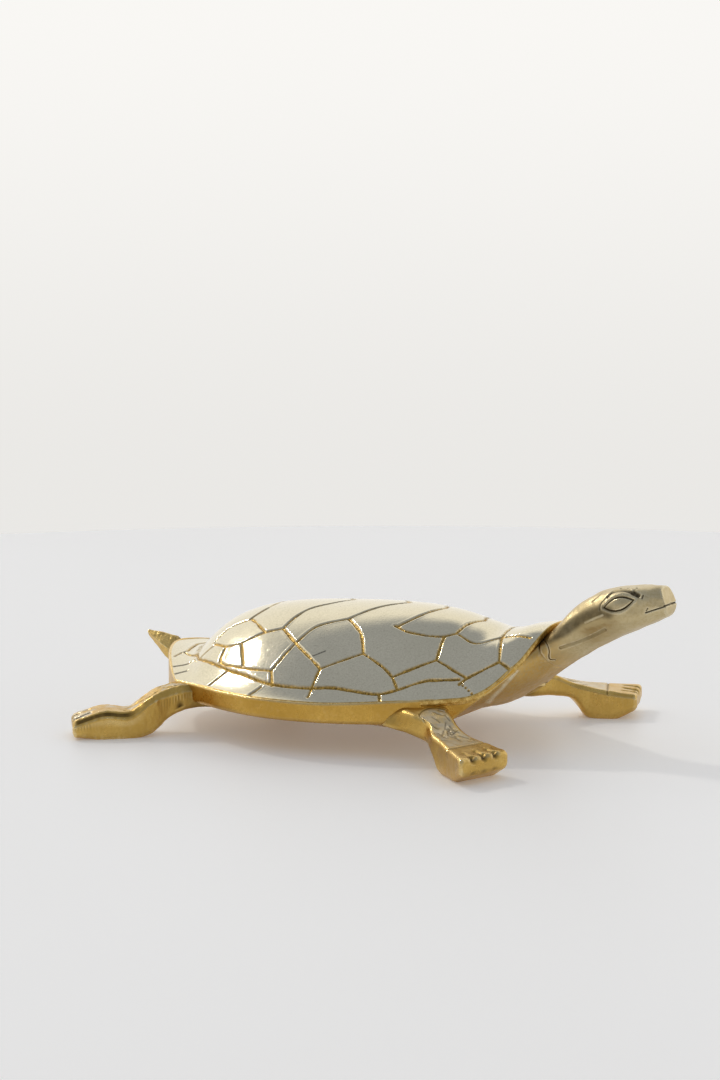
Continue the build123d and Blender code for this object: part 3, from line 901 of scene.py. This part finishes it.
    # the root stays clear of the screw that holds it
    x, y = screw_spots[0 if crease else 2]
    bore = step(3.9, 3.3, np.hypot(P[..., 0] - x, P[..., 1] - y))
    P[..., 2] += np.maximum(0, belly_z + 2.1 - P[..., 2]) * bore
    P = P * (1, side, 1)
    grid = quads(*P.shape[:2], True)
    marks = {"cavity": dark, "groove": silver, "edge": painted_highlight}
    piece(name + "_dressed", [(P, grid, marks)], name, foot_metal if crease else limb_metal)


for side, word in ((1, "left"), (-1, "right")):
    make_leg("front_" + word + "_leg", front_lines, side, (-4.4, .2, 4.8), (.7, 1.2), 10.5)
    make_leg("rear_" + word + "_leg", rear_lines, side, (-2.6, 2.6), (1.2, 1.9), 0)


def make_tail():
    """Wedge that comes out under the shell's rear lip and rises to a blunt point."""
    rows = 60
    rings = []
    for t in np.linspace(0, 1, rows):
        back = -3 + 14.3 * t
        z = rim_z + 2.3 + 6.1 * t
        size = (1 - .86 * t**1.25) * (1 if t < .95 else math.sqrt(max(0, 1 - ((t - .95) / .0505)**2)))
        w, up, low = 5.7 * size, 4.4 * size, 6.2 * size
        ring = rounded([(-w, 0), (-.55 * w, -low), (.55 * w, -low), (w, 0), (.1 * w, up), (-.1 * w, up)],
                       [.4 * max(size, .05)] * 6, tail_counts)
        rings.append(np.column_stack([np.full(len(ring), rear_x - back), ring[:, 0], z + ring[:, 1]]))
    P = np.stack(rings)
    n = normals(P, True)
    n *= np.sign((n[..., 1] * P[..., 1]).mean())
    P = P + n * (.1 * wobble(P, 6, 51) + .04 * wobble(P, 1.8, 53))[..., None]
    P[..., 0] = np.maximum(P[..., 0], tail_limit)
    under_shell(P, 1.2)
    # fine hatching on the two upper faces, painted shade on the root under the shell's lip, and painted
    # highlights: a sheen on the upper faces and brighter edges beside them
    facet = np.isin(sides(tail_counts), [3, 5])
    lines = step(.2, .8, np.sin(P[..., 1] * 11 + P[..., 0] + .4 * wobble(P, 5, 55)))
    dark = np.maximum(.45 * step(-82, -80, P[..., 0]), .2 * lines * facet * step(-90, -87, P[..., 0]))
    place = np.arange(P.shape[1])[None]
    first = sum(tail_counts[:3]) + 3 * corner_points
    corners = [k + i for k in (0, first) for i in (1, 2, 3, 4)]
    edge = .25 * facet + .7 * np.isin(place, corners) * np.ones(P.shape[:2])
    grid = quads(rows, P.shape[1], True)
    piece("tail_dressed", [(P, grid, {"cavity": dark, "edge": edge})], "tail", limb_metal)


make_tail()


# Screws: slotted cheese heads in their recesses
head_radius, head_height, head_sunk = 2.8, 1.4, .6
shank_radius = 1.5
slot_half, slot_floor = .42, .75
limb_shank, shell_shank = 3.6, 9


def screw_parts(x, y, z, turn, shank):
    """Shank and head up to the slot's floor, then the two halves of the head beside the slot."""
    made = []
    lathe = [(shank_radius, head_height + shank), (shank_radius, head_height), (head_radius, head_height),
             (head_radius, slot_floor), (.02, slot_floor)]
    rings = [np.column_stack([circle(x, y, r, 36), np.full(36, z + h)]) for r, h in lathe]
    made.append((np.stack(rings), quads(len(rings), 36, True), {"cavity": .35}))
    c, s = math.cos(turn), math.sin(turn)
    start = math.asin(slot_half / head_radius)
    arc = np.linspace(start, math.pi - start, 20)
    for flip in (1, -1):
        moon = np.column_stack([head_radius * np.cos(arc), head_radius * np.sin(arc)]) * flip
        moon = moon @ np.array([[c, s], [-s, c]])
        core = moon.mean(0)
        rings = []
        for k, h in ((1, .8), (1, .18), (.97, .05), (.92, 0), (.02, -.03)):
            rings.append(np.column_stack([core + (moon - core) * k + (x, y), np.full(len(arc), z + h)]))
        half = np.stack(rings)
        wear_and_sheen = np.array([[0], [.6], [1], [.4], [0]]) * np.ones(half.shape[:2])
        made.append((half, quads(*half.shape[:2], True), {"edge": wear_and_sheen}))
    return made


limb = []
for i, (x, y) in enumerate(screw_spots):
    limb += screw_parts(x, y, belly_z + head_sunk, .7 + 1.1 * i, limb_shank)
limb += screw_parts(*neck_screw, .3, limb_shank)
piece("limb_screws_dressed", limb, "limb_screws", screw_metal)
shell = []
for i, (x, y) in enumerate(boss_spots):
    shell += screw_parts(x, y, belly_z + head_sunk, .2 + .9 * i, shell_shank)
piece("carapace_screws_dressed", shell, "carapace_screws", screw_metal)


# Floor, light and camera
def make_floor():
    """Plain pale disc, a little brighter where it is seen directly or in the metal."""
    radius, corners = .545, 240
    n = Nodes("pale_floor")
    colour = n.mix(n.span(n.noise(3, 4), .3, .7), (.945, .925, .89), (.975, .955, .92))
    n.set(n.shader, "Base Color", colour)
    n.shader.inputs["Roughness"].default_value = .45
    path = n.add("ShaderNodeLightPath")
    seen = n.math("MAXIMUM", path.outputs["Is Camera Ray"], path.outputs["Is Glossy Ray"])
    glow = n.math("MULTIPLY", seen, .13)
    n.shader.inputs["Emission Color"].default_value = (1, .99, .97, 1)
    n.set(n.shader, "Emission Strength", glow)
    mesh = bpy.data.meshes.new("floor")
    angles = np.linspace(0, math.tau, corners, endpoint=False)
    ring = [(radius * math.cos(a), radius * math.sin(a), 0) for a in angles]
    mesh.from_pydata(ring, [], [tuple(range(corners))])
    mesh.materials.append(n.material)
    floor = bpy.data.objects.new("floor", mesh)
    bpy.context.scene.collection.objects.link(floor)


def make_world():
    """Soft room light: a bright wall behind the object, a dimmer ceiling and front."""
    ceiling, low_front, bright_wall = (.36, .388, .45, 1), (.54, .53, .52, 1), (1, .985, .955, 1)
    world = bpy.data.worlds.new("room")
    bpy.context.scene.world = world
    world.use_nodes = True
    tree = world.node_tree
    back = tree.nodes["Background"]

    def calc(kind, a, b):
        node = tree.nodes.new("ShaderNodeMath")
        node.operation = kind
        for socket, value in zip(node.inputs, (a, b)):
            if isinstance(value, (int, float)):
                socket.default_value = value
            else:
                tree.links.new(value, socket)
        return node.outputs[0]

    def ramp(value, low, high, to_low, to_high):
        node = tree.nodes.new("ShaderNodeMapRange")
        node.interpolation_type = "SMOOTHSTEP"
        tree.links.new(value, node.inputs[0])
        for socket, v in zip(list(node.inputs)[1:5], (low, high, to_low, to_high)):
            socket.default_value = v
        return node.outputs[0]

    place = tree.nodes.new("ShaderNodeTexCoord").outputs["Generated"]
    axes = tree.nodes.new("ShaderNodeSeparateXYZ")
    tree.links.new(place, axes.inputs[0])
    towards = calc("SUBTRACT", calc("MULTIPLY", axes.outputs[1], .87), calc("MULTIPLY", axes.outputs[0], .5))
    wall = calc("MULTIPLY", ramp(towards, -.15, .4, 0, 1), ramp(axes.outputs[2], .66, .82, 1, 0))
    path = tree.nodes.new("ShaderNodeLightPath")
    seen = path.outputs["Is Camera Ray"]
    tint = tree.nodes.new("ShaderNodeMix")
    tint.data_type = "RGBA"
    tree.links.new(calc("MAXIMUM", wall, seen), tint.inputs[0])
    front = tree.nodes.new("ShaderNodeMix")
    front.data_type = "RGBA"
    tree.links.new(ramp(axes.outputs[2], .2, .5, 1, 0), front.inputs[0])
    front.inputs[6].default_value = ceiling
    front.inputs[7].default_value = low_front
    tree.links.new(front.outputs[2], tint.inputs[6])
    tint.inputs[7].default_value = bright_wall
    tree.links.new(tint.outputs[2], back.inputs["Color"])
    # the camera sees the backdrop a little shaded towards the floor
    shade = ramp(axes.outputs[2], -.12, .1, .82, .95)
    strength = calc("ADD", calc("MULTIPLY", seen, shade), calc("SUBTRACT", 1, seen))
    tree.links.new(strength, back.inputs["Strength"])


def make_sun():
    """A small soft window, high on the tail's side and a little behind the turtle."""
    lamp = bpy.data.lights.new("window", "SUN")
    lamp.energy = .42
    lamp.angle = math.radians(4.5)
    lamp.color = (1, .98, .94)
    obj = bpy.data.objects.new("window", lamp)
    obj.rotation_euler = Vector((.70, -.252, -.668)).to_track_quat("-Z", "Y").to_euler()
    bpy.context.scene.collection.objects.link(obj)


make_floor()
make_world()
make_sun()

camera = bpy.data.cameras.new("camera")
camera.lens = 86.667
camera.sensor_width = 36
eye = bpy.data.objects.new("camera", camera)
eye.location = (.36047, -.71345, .15768)
eye.rotation_euler = Vector((-.46034, .87934, -.12187)).to_track_quat("-Z", "Y").to_euler()
bpy.context.scene.collection.objects.link(eye)
bpy.context.scene.camera = eye
bpy.context.scene.view_settings.view_transform = "Standard"
